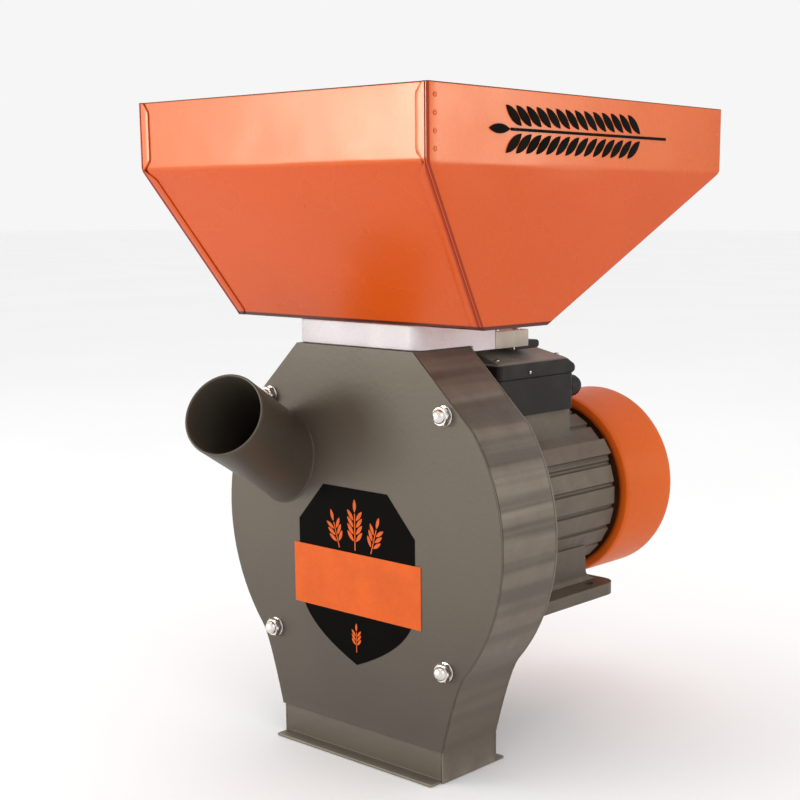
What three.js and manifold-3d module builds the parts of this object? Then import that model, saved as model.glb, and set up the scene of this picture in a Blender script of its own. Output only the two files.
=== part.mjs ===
// Electric hammer mill: hopper, slide gate, round grinding chamber with a swinging-hammer rotor,
// inclined inlet tube and a foot-mounted fan-cooled motor.  Millimetres, +Z up, front face towards -Y.
//
// All pieces are drawn in the mill's own frame, whose origin is where the shaft axis meets the front
// face of the cover: x to the right, y backwards along the shaft, z up from the shaft.  The whole mill
// is then placed so that the model's origin is the middle of the motor feet's mounting plane.

import * as THREE from "three";
import { mergeVertices } from "three/addons/utils/BufferGeometryUtils.js";
import Module from "manifold-3d";

const wasm = await Module();
wasm.setup();

// ---------------------------------------------------------------- driving dimensions

const SHAFT_HEIGHT = 80;          // shaft axis above the feet's mounting plane
const FOOT_CENTRE_Y = 150;        // cover face to the middle of the feet
const GAP = 0.3;                  // clearance between touching pieces
const SHEET = 1.5;                // thin sheet of the hopper, gate and sieve
const PLATE = 2;                  // sheet of the chamber

const HOPPER = {
  rimZ: 315, kneeZ: 266, floorZ: 155.6,
  topHalf: 147, topFront: -75, topRear: 267,
  floorHalf: 128.5, floorFront: -0.6, floorRear: 71,
  flange: 11,                     // width of the side panels' folded-over edges
  rearSheet: 2.4,                 // thickness along y of the steep rear panel
};
const FEED = { half: 44, front: 12, rear: 56 };            // grain opening under the hopper
const NECK = {
  half: 63, front: 2.5, rear: 89.8, bottom: 137.3, top: 155.3, corner: 9,
  skirtFront: 63.6, skirtBottom: 133,                      // the neck hangs lower behind the chamber
};
const GATE = { half: 48, front: 8, bottom: 139.6, lipY: 129.8, lipBottom: 128.6, sideGap: 0.5 };
const GUIDE = { half: 63, front: 90.1, rear: 129.4, bottom: 133, top: 146 };
const GRIP = { front: 131.6, rear: 162, bottom: 128.6, top: 135.2, corner: 3 };

const CHAMBER = {
  radius: 145, topZ: 137, topHalf: 61,
  shoulderAngle: 35, waistAngle: -41,                      // degrees, where the round part starts and ends
  waistPull: [101.5, -104.2],                              // control point of the curve into the outlet
  outletHalf: 87, coverBottom: -158, outletBottom: -182.6,
  depth: 63.3,
};
const OUTLET_FLANGE = 9;
const STUD = { x: 92, z: 94, radius: 4, front: -7 };
const NUT = { acrossFlats: 13, height: 5, dome: 5 };
const SIEVE = { radius: 120, endAngle: 20, flangeRadius: 141.5 };
const TUBE = { x: -78, z: 46, lean: 20, rise: 28, length: 101, radius: 31.5, wall: 2 };

const ROTOR = { discRadius: 82, disc: 3, front: 12, rear: 52, hubRadius: 20, shaftRadius: 9.5 };
const PIN = { offset: 49.5, radius: 5, headRadius: 8, frontHead: 3.5, rearHead: 2 };
const HAMMER = { reach: 45, tail: 12, width: 22, thickness: 5, boss: 9, bore: 5.5 };

const MOTOR = {
  front: 84, rear: 236, radius: 72, flats: 24,             // a barrel of long flats with grooves between
  grooveRadius: 69.5, grooveAngle: 0.9,
  boreRadius: 60, coreFront: 100, coreRear: 200, airGapRadius: 33.2, rotorRadius: 32.5,
};
const RAISED_RIB = { angle: 33, width: 14, radius: 76 };   // one broad rib high on each side
const PAD = { halfTop: 48, halfFoot: 51, front: 101, rear: 203 };  // seat of the terminal box
const SHIELD = {
  radius: 66, wall: 6, seatWall: 4,
  rearRadius: [69, 61], rear: 250.3, rearWall: 2.8,
  lugAngles: [90, 180, 270], lugFront: 244, lugWidth: 10,
};
const BEARING = {
  bore: 10.4, face: 3,
  front: { outer: 26, y: [70, 85] }, rear: { outer: 23.5, y: [237, 247] },
};
const WINDING = { inner: 38, length: 15, chamfer: 3 };
const FAN_COVER = { front: 243, rear: 313, radius: 79, wall: 1.5, corner: 7, vents: 16 };
const VENT = { inner: 24, outer: 58, width: 5 };
const FAN = { front: 253, rear: 288, radius: 62, disc: 71.5, blades: 8, hub: 16, bore: 8, sheet: 2 };
const SHAFT = { front: 5.5, journal: 10, core: 14, coreSpan: [88, 218], fanSeat: 252 };
const FOOT = {
  front: 75, rear: 225, inner: 32, outer: 84.5, thickness: 10, corner: 14,
  web: [50, 60], webRear: 211, fillet: 9,
};
const FOOT_HOLE = { x: 71.5, spacing: 100, radius: 4.5 };

const BOX = { half: 54, front: 103, rear: 201, bottom: 76, top: 105.7, wall: 3, corner: 5 };
const LID = [                                              // a deep skirt, rolled at the rear, and a hipped top
  { z: 106, half: 55, front: 103, rear: 201 },
  { z: 108, half: 55.5, front: 102.5, rear: 203.2 },
  { z: 111, half: 55.5, front: 102.5, rear: 203.4 },
  { z: 113.5, half: 55.5, front: 102.5, rear: 201.5 },
  { z: 115.3, half: 55.5, front: 102.8, rear: 198 },
  { z: 118, half: 55, front: 103.5, rear: 194 },
  { z: 119.6, half: 53.5, front: 106, rear: 190.6 },
  { z: 128, half: 24, front: 112, rear: 182 },
];
const LID_CORNER = 5;
const WIRE_HOLE = { radius: 8, y: 172 };
const CAPACITOR = { radius: 12, ends: [-34, 46], y: 121, z: 92 };
const GLAND = { x: 41, z: 93, radius: 8, bore: 4, collar: 11, cap: 9, length: 18 };
const SWITCH = { y: 146, z: 95, halfY: 16, halfZ: 10.5, pivotX: -54.5, border: 2.5 };

const SIDES = [["left", -1], ["right", 1]];

// ---------------------------------------------------------------- materials

const finish = (color, roughness, metalness) =>
  new THREE.MeshStandardMaterial({ color, roughness, metalness });

const MATERIAL = {
  orange: finish(0xde703e, 0.35, 0.0),
  grey: finish(0x7d7364, 0.45, 0.1),
  motor: finish(0x5f554c, 0.5, 0.1),
  black: finish(0x2e2c2a, 0.5, 0.0),
  white: finish(0xf0eef0, 0.4, 0.0),
  zinc: finish(0x969082, 0.45, 0.6),
  chrome: finish(0xd8d8d8, 0.15, 1.0),
  steel: finish(0x8f8f8f, 0.35, 0.9),
  darkSteel: finish(0x55524e, 0.5, 0.8),
  aluminium: finish(0xb8b8b4, 0.4, 0.8),
  copper: finish(0xa8602f, 0.4, 0.8),
};

// ---------------------------------------------------------------- solid modelling helpers

const radians = THREE.MathUtils.degToRad;
const polar = (radius, degrees) => [
  radius * Math.cos(radians(degrees)),
  radius * Math.sin(radians(degrees)),
];

function arc(radius, from, to, steps, centre = [0, 0]) {
  return Array.from({ length: steps + 1 }, (_, i) => {
    const [x, z] = polar(radius, from + ((to - from) * i) / steps);
    return [x + centre[0], z + centre[1]];
  });
}

function toManifold(geometry) {
  const bare = geometry.clone();
  bare.deleteAttribute("normal");
  bare.deleteAttribute("uv");
  const merged = mergeVertices(bare, 1e-4);
  const triangles = [];
  for (let i = 0; i < merged.index.count; i += 3) {
    const [a, b, c] = [0, 1, 2].map((k) => merged.index.getX(i + k));
    if (a !== b && b !== c && c !== a) triangles.push(a, b, c);
  }
  const mesh = new wasm.Mesh({
    numProp: 3,
    vertProperties: new Float32Array(merged.attributes.position.array),
    triVerts: new Uint32Array(triangles),
  });
  return new wasm.Manifold(mesh);
}

function toGeometry(manifold) {
  const mesh = manifold.getMesh();
  const geometry = new THREE.BufferGeometry();
  geometry.setAttribute("position", new THREE.BufferAttribute(new Float32Array(mesh.vertProperties), 3));
  geometry.setIndex(new THREE.BufferAttribute(new Uint32Array(mesh.triVerts), 1));
  geometry.computeVertexNormals();
  return geometry;
}

const cut = (geometry, ...tools) =>
  toGeometry(tools.reduce((body, tool) => body.subtract(toManifold(tool)), toManifold(geometry)));

const join = (...pieces) =>
  toGeometry(pieces.map(toManifold).reduce((body, piece) => body.add(piece)));

const common = (first, second) => toGeometry(toManifold(first).intersect(toManifold(second)));

function block(x0, x1, y0, y1, z0, z1) {
  const geometry = new THREE.BoxGeometry(x1 - x0, y1 - y0, z1 - z0);
  return geometry.translate((x0 + x1) / 2, (y0 + y1) / 2, (z0 + z1) / 2);
}

function shapeOf(points, holes = []) {
  const outline = (list) => list.map(([u, v]) => new THREE.Vector2(u, v));
  const shape = new THREE.Shape(outline(points));
  shape.holes = holes.map((hole) => new THREE.Path(outline(hole)));
  return shape;
}

const extrude = (points, depth, holes) =>
  new THREE.ExtrudeGeometry(shapeOf(points, holes), { depth, bevelEnabled: false });

// Outline in (x, z), extruded from y0 to y1.
const alongY = (points, y0, y1, holes) =>
  extrude(points, y1 - y0, holes).rotateX(Math.PI / 2).translate(0, y1, 0);

// Outline in (y, z), extruded from x0 to x1.
const alongX = (points, x0, x1) =>
  extrude(points, x1 - x0).rotateY(Math.PI / 2).rotateX(Math.PI / 2).translate(x0, 0, 0);

// Outline in (x, y), extruded from z0 to z1.
const alongZ = (points, z0, z1) => extrude(points, z1 - z0).translate(0, 0, z0);

// A turned piece about the y axis, from a profile of [radius, y] points, moved to (x, z).
function turned(profile, segments, x = 0, z = 0) {
  const closed = profile[0][0] === 0 ? profile : [...profile, profile[0]];
  const points = closed.map(([radius, y]) => new THREE.Vector2(radius, y));
  const geometry = new THREE.LatheGeometry(points, segments).translate(x, 0, z);
  const manifold = toManifold(geometry);
  if (manifold.volume() > 0) return toGeometry(manifold);
  const index = geometry.index.array;
  for (let i = 0; i < index.length; i += 3) {
    [index[i], index[i + 1]] = [index[i + 1], index[i]];
  }
  return toGeometry(toManifold(geometry));
}

const rod = (radius, y0, y1, segments, x = 0, z = 0) =>
  turned([[0, y0], [radius, y0], [radius, y1], [0, y1]], segments, x, z);

const ring = (inner, outer, y0, y1, segments, x = 0, z = 0) =>
  turned([[inner, y0], [outer, y0], [outer, y1], [inner, y1]], segments, x, z);

function roundedRectangle(u0, u1, v0, v1, radius, steps = 4) {
  const corners = [[u1, v1, 0, -1, -1], [u0, v1, 90, 1, -1], [u0, v0, 180, 1, 1], [u1, v0, 270, -1, 1]];
  return corners.flatMap(([u, v, from, su, sv]) =>
    arc(radius, from, from + 90, steps, [u + su * radius, v + sv * radius]));
}

// A closed body through matching [x, y] outlines at rising heights.
function loft(layers) {
  const count = layers[0].outline.length;
  const positions = layers.flatMap(({ z, outline }) => outline.flatMap(([x, y]) => [x, y, z]));
  const triangles = [];
  for (let layer = 0; layer + 1 < layers.length; layer += 1) {
    for (let i = 0; i < count; i += 1) {
      const a = layer * count + i;
      const b = layer * count + ((i + 1) % count);
      triangles.push(a, b, b + count, a, b + count, a + count);
    }
  }
  const cap = (outline) =>
    THREE.ShapeUtils.triangulateShape(outline.map(([x, y]) => new THREE.Vector2(x, y)), []);
  const top = (layers.length - 1) * count;
  for (const [a, b, c] of cap(layers[0].outline)) triangles.push(c, b, a);
  for (const [a, b, c] of cap(layers.at(-1).outline)) triangles.push(top + a, top + b, top + c);
  const geometry = new THREE.BufferGeometry();
  geometry.setAttribute("position", new THREE.Float32BufferAttribute(positions, 3));
  geometry.setIndex(triangles);
  return toGeometry(toManifold(geometry));
}

const mirroredX = (outline) => outline.map(([x, y]) => [-x, y]).reverse();

function piece(name, geometry, material) {
  const mesh = new THREE.Mesh(geometry, material);
  mesh.name = name;
  return mesh;
}

function assembly(...pieces) {
  const group = new THREE.Group();
  group.add(...pieces);
  return group;
}

// ---------------------------------------------------------------- hopper

// Half width, front and rear of the hopper's outside at its floor, its knee and its rim.
const HOPPER_LEVELS = [
  { z: HOPPER.floorZ, half: HOPPER.floorHalf, front: HOPPER.floorFront, rear: HOPPER.floorRear },
  { z: HOPPER.kneeZ, half: HOPPER.topHalf, front: HOPPER.topFront, rear: HOPPER.topRear },
  { z: HOPPER.rimZ, half: HOPPER.topHalf, front: HOPPER.topFront, rear: HOPPER.topRear },
];
const hopperLoft = (outlineAt) =>
  loft(HOPPER_LEVELS.map((level) => ({ z: level.z, outline: outlineAt(level) })));

function crossPanel(edgeY, thickness) {
  return hopperLoft((level) => {
    const half = level.half - SHEET - GAP;
    const y = edgeY(level);
    return [[-half, y], [half, y], [half, y + thickness], [-half, y + thickness]];
  });
}

// A side panel folds over the outside of the front and rear panels.
function sidePanel(side) {
  return hopperLoft(({ half, front, rear }) => {
    const inner = half - SHEET;
    const fold = half - HOPPER.flange;
    const outline = [
      [fold, front], [half, front], [half, rear], [fold, rear],
      [fold, rear - HOPPER.rearSheet], [inner, rear - HOPPER.rearSheet],
      [inner, front + SHEET], [fold, front + SHEET],
    ];
    return side > 0 ? outline : mirroredX(outline);
  });
}

function hopperFloor() {
  const front = HOPPER.floorFront + 2 * SHEET + 2 * GAP;
  const rear = HOPPER.floorRear - 2 * HOPPER.rearSheet - 2 * GAP;
  const half = HOPPER.floorHalf - SHEET - GAP;
  const plate = block(-half, half, front, rear, HOPPER.floorZ, HOPPER.floorZ + SHEET);
  const opening = block(-FEED.half, FEED.half, FEED.front, FEED.rear, HOPPER.floorZ - 1, HOPPER.floorZ + 9);
  return cut(plate, opening);
}

function makeHopper() {
  const rearEdge = (level) => level.rear - 2 * HOPPER.rearSheet - GAP;
  return assembly(
    piece("hopper_front_panel", crossPanel((level) => level.front + SHEET + GAP, SHEET), MATERIAL.orange),
    piece("hopper_rear_panel", crossPanel(rearEdge, HOPPER.rearSheet), MATERIAL.orange),
    ...SIDES.map(([name, side]) => piece(`hopper_${name}_panel`, sidePanel(side), MATERIAL.orange)),
    piece("hopper_floor", hopperFloor(), MATERIAL.orange),
  );
}

// ---------------------------------------------------------------- feed neck and slide gate

function feedNeck() {
  const { half, front, rear, bottom, top, corner, skirtFront, skirtBottom } = NECK;
  const outline = roundedRectangle(-half, half, front, rear, corner);
  const squareRear = block(-half, half, skirtFront, rear, skirtBottom, top);
  const passage = block(-FEED.half, FEED.half, FEED.front, FEED.rear, bottom - 1, top + 1);
  const slotHalf = GATE.half + GATE.sideGap;
  const slot = block(-slotHalf, slotHalf, GATE.front - 1.5, rear + 1, GATE.bottom - GAP,
    GATE.bottom + SHEET + GAP);
  return cut(join(alongZ(outline, bottom, top), squareRear), passage, slot);
}

function gateGuide() {
  const outer = block(-GUIDE.half, GUIDE.half, GUIDE.front, GUIDE.rear, GUIDE.bottom, GUIDE.top);
  const half = GUIDE.half - PLATE;
  const hollow = block(-half, half, GUIDE.front - 1, GUIDE.rear + 1, GUIDE.bottom + PLATE, GUIDE.top - PLATE);
  return cut(outer, hollow);
}

function gatePlate() {
  const top = GATE.bottom + SHEET;
  const section = [
    [GATE.front, GATE.bottom], [GATE.lipY, GATE.bottom], [GATE.lipY, GATE.lipBottom],
    [GATE.lipY + SHEET, GATE.lipBottom], [GATE.lipY + SHEET, top], [GATE.front, top],
  ];
  return alongX(section, -GATE.half, GATE.half);
}

function makeFeed() {
  const gripSection = roundedRectangle(GRIP.front, GRIP.rear, GRIP.bottom, GRIP.top, GRIP.corner);
  return assembly(
    piece("feed_neck", feedNeck(), MATERIAL.white),
    piece("gate_guide", gateGuide(), MATERIAL.zinc),
    piece("gate_plate", gatePlate(), MATERIAL.zinc),
    piece("gate_grip", alongX(gripSection, -GATE.half, GATE.half), MATERIAL.black),
  );
}

// ---------------------------------------------------------------- grinding chamber

// Right-hand edge of the chamber from the given bottom up to the flat top, inset by a distance.
function chamberEdge(bottom, inset) {
  const { radius, shoulderAngle, waistAngle, waistPull, outletHalf, coverBottom, topHalf, topZ } = CHAMBER;
  const start = polar(radius, waistAngle);
  const waist = new THREE.QuadraticBezierCurve(
    new THREE.Vector2(outletHalf - inset, coverBottom),
    new THREE.Vector2(waistPull[0] - inset, waistPull[1]),
    new THREE.Vector2(start[0] - inset * Math.cos(radians(waistAngle)), start[1]),
  );
  const curve = waist.getPoints(6).slice(0, -1).map((point) => [point.x, point.y]);
  const below = bottom < coverBottom ? [[outletHalf - inset, bottom]] : [];
  return [...below, ...curve, ...arc(radius - inset, waistAngle, shoulderAngle, 20), [topHalf, topZ - inset]];
}

function chamberOutline(bottom, inset = 0) {
  const edge = chamberEdge(bottom, inset);
  return [...edge, ...mirroredX(edge)];
}

const STUD_PLACES = [
  ["upper_left", -STUD.x, STUD.z], ["upper_right", STUD.x, STUD.z],
  ["lower_left", -STUD.x, -STUD.z], ["lower_right", STUD.x, -STUD.z],
];

function housingBand() {
  const { outletBottom, depth, topZ } = CHAMBER;
  const outer = chamberEdge(outletBottom, 0);
  const inner = chamberEdge(outletBottom, PLATE);
  const strip = [...outer, ...mirroredX(outer), ...mirroredX(inner).reverse(), ...inner.toReversed()];
  const opening = block(-FEED.half, FEED.half, FEED.front, FEED.rear, topZ - 10, topZ + 10);
  return cut(alongY(strip, PLATE + GAP, depth - PLATE - GAP), opening);
}

function backPlate() {
  const { outletBottom, outletHalf, depth } = CHAMBER;
  const plate = alongY(chamberOutline(outletBottom), depth - PLATE, depth);
  const flange = block(-outletHalf, outletHalf, depth - 1, depth + OUTLET_FLANGE,
    outletBottom, outletBottom + PLATE);
  return cut(join(plate, flange), rod(16, depth - 5, depth + 5, 24));
}

function outletFront() {
  const { outletBottom, outletHalf, coverBottom } = CHAMBER;
  const half = outletHalf - PLATE - GAP;
  const front = PLATE + GAP;
  const section = [
    [-OUTLET_FLANGE, outletBottom], [front + PLATE, outletBottom], [front + PLATE, coverBottom + 8],
    [front, coverBottom + 8], [front, outletBottom + PLATE], [-OUTLET_FLANGE, outletBottom + PLATE],
  ];
  return alongX(section, -half, half);
}

function sieve() {
  const { radius, endAngle, flangeRadius } = SIEVE;
  const from = -180 + endAngle;
  const lift = (SHEET / radius) * (180 / Math.PI);
  const outline = [
    polar(flangeRadius, from), ...arc(radius + SHEET, from, -endAngle, 32),
    polar(flangeRadius, -endAngle), polar(flangeRadius, -endAngle + lift),
    ...arc(radius, -endAngle + lift, from - lift, 32), polar(flangeRadius, from - lift),
  ];
  return alongY(outline, PLATE + 1, CHAMBER.depth - PLATE - 1);
}

function makeChamber() {
  const studRear = CHAMBER.depth - PLATE - GAP;
  return assembly(
    piece("housing_band", housingBand(), MATERIAL.grey),
    piece("back_plate", backPlate(), MATERIAL.grey),
    piece("outlet_front", outletFront(), MATERIAL.grey),
    piece("sieve", sieve(), MATERIAL.zinc),
    ...STUD_PLACES.map(([name, x, z]) =>
      piece(`stud_${name}`, rod(STUD.radius, STUD.front, studRear, 12, x, z), MATERIAL.steel)),
  );
}

// ---------------------------------------------------------------- front cover

// Unit vector along the inlet tube, from the cover outwards.
const TUBE_DIRECTION = new THREE.Vector3(
  Math.tan(radians(TUBE.lean)), -1, Math.tan(radians(TUBE.rise))).normalize();

// A geometry turned about y is swung so that its +y runs out along the inlet tube.
function alongTube(geometry) {
  const swing = new THREE.Quaternion().setFromUnitVectors(new THREE.Vector3(0, 1, 0), TUBE_DIRECTION);
  return geometry.applyQuaternion(swing).translate(TUBE.x, 0, TUBE.z);
}

function frontCover() {
  const plate = alongY(chamberOutline(CHAMBER.coverBottom), 0, PLATE);
  const mouth = alongTube(rod(TUBE.radius + GAP, -60, 60, 40));
  const holes = STUD_PLACES.map(([, x, z]) => rod(STUD.radius + 0.5, -5, 5, 12, x, z));
  return cut(plate, mouth, ...holes);
}

function inletTube() {
  const pipe = alongTube(ring(TUBE.radius - TUBE.wall, TUBE.radius, -60, TUBE.length, 40));
  return cut(pipe, block(-250, 250, PLATE, 200, -250, 250));
}

function domeNut(x, z) {
  const cornerRadius = NUT.acrossFlats / 2 / Math.cos(Math.PI / 6);
  const flat = rod(cornerRadius, -GAP - NUT.height, -GAP, 6);
  const domeBase = -GAP - NUT.height;
  const dome = turned([[0, domeBase + 1], [6, domeBase + 1], [6, domeBase],
    [4.5, domeBase - NUT.dome * 0.7], [0, domeBase - NUT.dome]], 12);
  const thread = rod(STUD.radius + 0.4, STUD.front - 0.5, 1, 12);
  return cut(join(flat, dome), thread).translate(x, 0, z);
}

function makeFrontCover() {
  return assembly(
    piece("front_cover", frontCover(), MATERIAL.grey),
    piece("inlet_tube", inletTube(), MATERIAL.grey),
    ...STUD_PLACES.map(([name, x, z]) => piece(`dome_nut_${name}`, domeNut(x, z), MATERIAL.chrome)),
  );
}

// ---------------------------------------------------------------- rotor with swinging hammers

const PIN_PLACES = [
  ["upper_left", -PIN.offset, PIN.offset], ["upper_right", PIN.offset, PIN.offset],
  ["lower_left", -PIN.offset, -PIN.offset], ["lower_right", PIN.offset, -PIN.offset],
];

function motorShaft() {
  const drive = ROTOR.shaftRadius;
  const { front, journal, core, coreSpan: [coreFront, coreRear], fanSeat } = SHAFT;
  return turned([
    [0, front], [drive - 1, front], [drive, front + 1], [drive, ROTOR.rear + GAP],
    [journal, ROTOR.rear + GAP], [journal, coreFront], [core, coreFront], [core, coreRear],
    [journal, coreRear], [journal, fanSeat], [FAN.bore, fanSeat], [FAN.bore, FAN.rear + 1],
    [0, FAN.rear + 1],
  ], 24);
}

function rotorDisc(y0) {
  const { discRadius, disc, shaftRadius } = ROTOR;
  const plate = ring(shaftRadius + GAP, discRadius, y0, y0 + disc, 36);
  const holes = PIN_PLACES.map(([, x, z]) => rod(PIN.radius + GAP, y0 - 1, y0 + disc + 1, 12, x, z));
  return cut(plate, ...holes);
}

function pin(x, z) {
  const { radius, headRadius, frontHead, rearHead } = PIN;
  const front = ROTOR.front - GAP;
  const rear = ROTOR.rear + GAP;
  return turned([
    [0, front - frontHead], [headRadius, front - frontHead], [headRadius, front], [radius, front],
    [radius, rear], [headRadius - 1, rear], [headRadius - 1, rear + rearHead], [0, rear + rearHead],
  ], 12, x, z);
}

// A hammer hangs from its pin: a flat bar with a bush that keeps it in its place along the pin.
function hammer(x, z, bushFront, bushRear) {
  const { reach, tail, width, thickness, boss, bore } = HAMMER;
  const middle = (bushFront + bushRear) / 2;
  const bar = alongY(
    [[-width / 2, -reach], [width / 2, -reach], [width / 2, tail - 4], [width / 2 - 4, tail],
      [4 - width / 2, tail], [-width / 2, tail - 4]],
    middle - thickness / 2, middle + thickness / 2);
  const bush = rod(boss, bushFront, bushRear, 12);
  return cut(join(bar, bush), rod(bore, bushFront - 1, bushRear + 1, 12)).translate(x, 0, z);
}

function rotorNut() {
  const cornerRadius = 27 / 2 / Math.cos(Math.PI / 6);
  const front = ROTOR.front - GAP;
  return cut(rod(cornerRadius, front - 5, front, 6), rod(ROTOR.shaftRadius + GAP, 0, 20, 24));
}

function makeRotor() {
  const { front, rear, disc, hubRadius, shaftRadius } = ROTOR;
  const bay0 = front + disc + 0.4;
  const bay1 = rear - disc - 0.4;
  const middle = (bay0 + bay1) / 2;
  const bays = [["front", bay0, middle - 0.2], ["rear", middle + 0.2, bay1]];
  const hammers = PIN_PLACES.flatMap(([name, x, z]) => bays.map(([bay, y0, y1]) =>
    piece(`hammer_${name}_${bay}`, hammer(x, z, y0, y1), MATERIAL.darkSteel)));
  return assembly(
    piece("motor_shaft", motorShaft(), MATERIAL.steel),
    piece("rotor_hub", ring(shaftRadius + GAP, hubRadius, front + disc + GAP, rear - disc - GAP, 24),
      MATERIAL.darkSteel),
    piece("rotor_disc_front", rotorDisc(front), MATERIAL.darkSteel),
    piece("rotor_disc_rear", rotorDisc(rear - disc), MATERIAL.darkSteel),
    piece("rotor_nut", rotorNut(), MATERIAL.zinc),
    ...PIN_PLACES.map(([name, x, z]) => piece(`hammer_pin_${name}`, pin(x, z), MATERIAL.steel)),
    ...hammers,
  );
}

// ---------------------------------------------------------------- motor

// The upright hole through which the windings' wires reach the terminal box.
function wireHole(z0, z1) {
  const hole = new THREE.CylinderGeometry(WIRE_HOLE.radius, WIRE_HOLE.radius, z1 - z0, 16);
  return hole.rotateX(Math.PI / 2).translate(0, WIRE_HOLE.y, (z0 + z1) / 2);
}

function statorHousing() {
  const { front, rear, radius, flats, grooveRadius, grooveAngle, boreRadius } = MOTOR;
  const outline = Array.from({ length: flats }, (_, i) => {
    const groove = ((i + 0.5) * 360) / flats;
    return [
      polar(radius, groove - 2 * grooveAngle), polar(grooveRadius, groove - grooveAngle),
      polar(grooveRadius, groove + grooveAngle), polar(radius, groove + 2 * grooveAngle),
    ];
  }).flat();
  const body = alongY(outline, front, rear, [arc(boreRadius, 360, 360 / 48, 47)]);
  const outside = ring(boreRadius + 2, 2 * radius, front, rear, 48);
  const padTop = BOX.bottom - GAP;
  const padSection = [
    [-PAD.halfFoot, 0], [PAD.halfFoot, 0], [PAD.halfTop, padTop], [-PAD.halfTop, padTop],
  ];
  const pad = common(alongY(padSection, PAD.front, PAD.rear), outside);
  const raisedRibs = [RAISED_RIB.angle, 180 - RAISED_RIB.angle].map((angle) =>
    block(boreRadius + 2, RAISED_RIB.radius, front, rear, -RAISED_RIB.width / 2, RAISED_RIB.width / 2)
      .rotateY(-radians(angle)));
  return cut(join(body, pad, ...raisedRibs), wireHole(boreRadius - 10, BOX.bottom + 10));
}

function statorCore() {
  const { boreRadius, airGapRadius, coreFront, coreRear } = MOTOR;
  return ring(airGapRadius, boreRadius - 0.5, coreFront, coreRear, 36);
}

// The end shields are turned pieces with a seat for a bearing in the middle.
function frontShield() {
  const front = CHAMBER.depth + GAP;
  const rear = MOTOR.front - GAP;
  const { radius, wall, seatWall } = SHIELD;
  const skirt = MOTOR.boreRadius - 2;
  const seat = BEARING.front.outer + 0.4;
  return turned([
    [SHAFT.journal + 2, front], [radius, front], [radius, rear], [skirt, rear],
    [skirt, front + wall + 1], [seat + seatWall, front + wall + 1], [seat + seatWall, rear],
    [seat, rear], [seat, front + wall], [SHAFT.journal + 2, front + wall],
  ], 32);
}

function rearShield() {
  const front = MOTOR.rear + GAP;
  const { rearRadius: [wide, narrow], rear, rearWall, seatWall, lugAngles, lugFront, lugWidth } = SHIELD;
  const skirt = MOTOR.boreRadius - 2;
  const seat = BEARING.rear.outer + 0.4;
  const shell = turned([
    [SHAFT.journal + 1, rear], [narrow, rear], [wide, front], [skirt, front], [skirt, rear - 4],
    [seat + seatWall, rear - 4], [seat + seatWall, front], [seat, front], [seat, rear - rearWall],
    [SHAFT.journal + 1, rear - rearWall],
  ], 32);
  const lugEnd = FAN_COVER.radius - FAN_COVER.wall - 0.5;
  const lugs = lugAngles.map((angle) =>
    block(narrow - 1, lugEnd, lugFront, rear - 1, -lugWidth / 2, lugWidth / 2).rotateY(radians(angle)));
  return join(shell, ...lugs);
}

// A shielded ball bearing: full-width races and a sunk shield on its front side.
function bearing({ outer, y: [y0, y1] }) {
  const { bore, face } = BEARING;
  return turned([
    [bore, y0], [bore + face, y0], [bore + face, y0 + 1], [outer - face, y0 + 1], [outer - face, y0],
    [outer, y0], [outer, y1], [bore, y1],
  ], 24);
}

function winding(y0) {
  const { inner, length, chamfer } = WINDING;
  const outer = MOTOR.boreRadius - 4;
  const y1 = y0 + length;
  return turned([
    [inner, y0], [outer - chamfer, y0], [outer, y0 + chamfer], [outer, y1 - chamfer],
    [outer - chamfer, y1], [inner, y1],
  ], 24);
}

function fan() {
  const { front, rear, radius, disc: discRadius, blades, hub, bore, sheet } = FAN;
  const disc = rod(discRadius, front, front + sheet, 40);
  const blade = (i) => block(hub - 4, radius, front + 1, rear - 4, -sheet / 2, sheet / 2)
    .rotateY((i * 2 * Math.PI) / blades);
  const vanes = Array.from({ length: blades }, (_, i) => blade(i));
  return cut(join(rod(hub, front, rear - 2, 16), disc, ...vanes), rod(bore + GAP, front - 5, rear + 5, 16));
}

function fanCover() {
  const { front, rear, radius, wall, corner, vents } = FAN_COVER;
  const bend = (r) => arc(r, 90, 0, 3, [radius - corner, rear - corner]);
  const shell = turned([
    [0, rear], ...bend(corner), [radius, front], [radius - wall, front],
    ...bend(corner - wall).reverse(), [0, rear - wall],
  ], 48);
  const slots = Array.from({ length: vents }, (_, i) =>
    block(VENT.inner, VENT.outer, rear - 5, rear + 5, -VENT.width / 2, VENT.width / 2)
      .rotateY((i * 2 * Math.PI) / vents));
  return cut(shell, ...slots);
}

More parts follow.
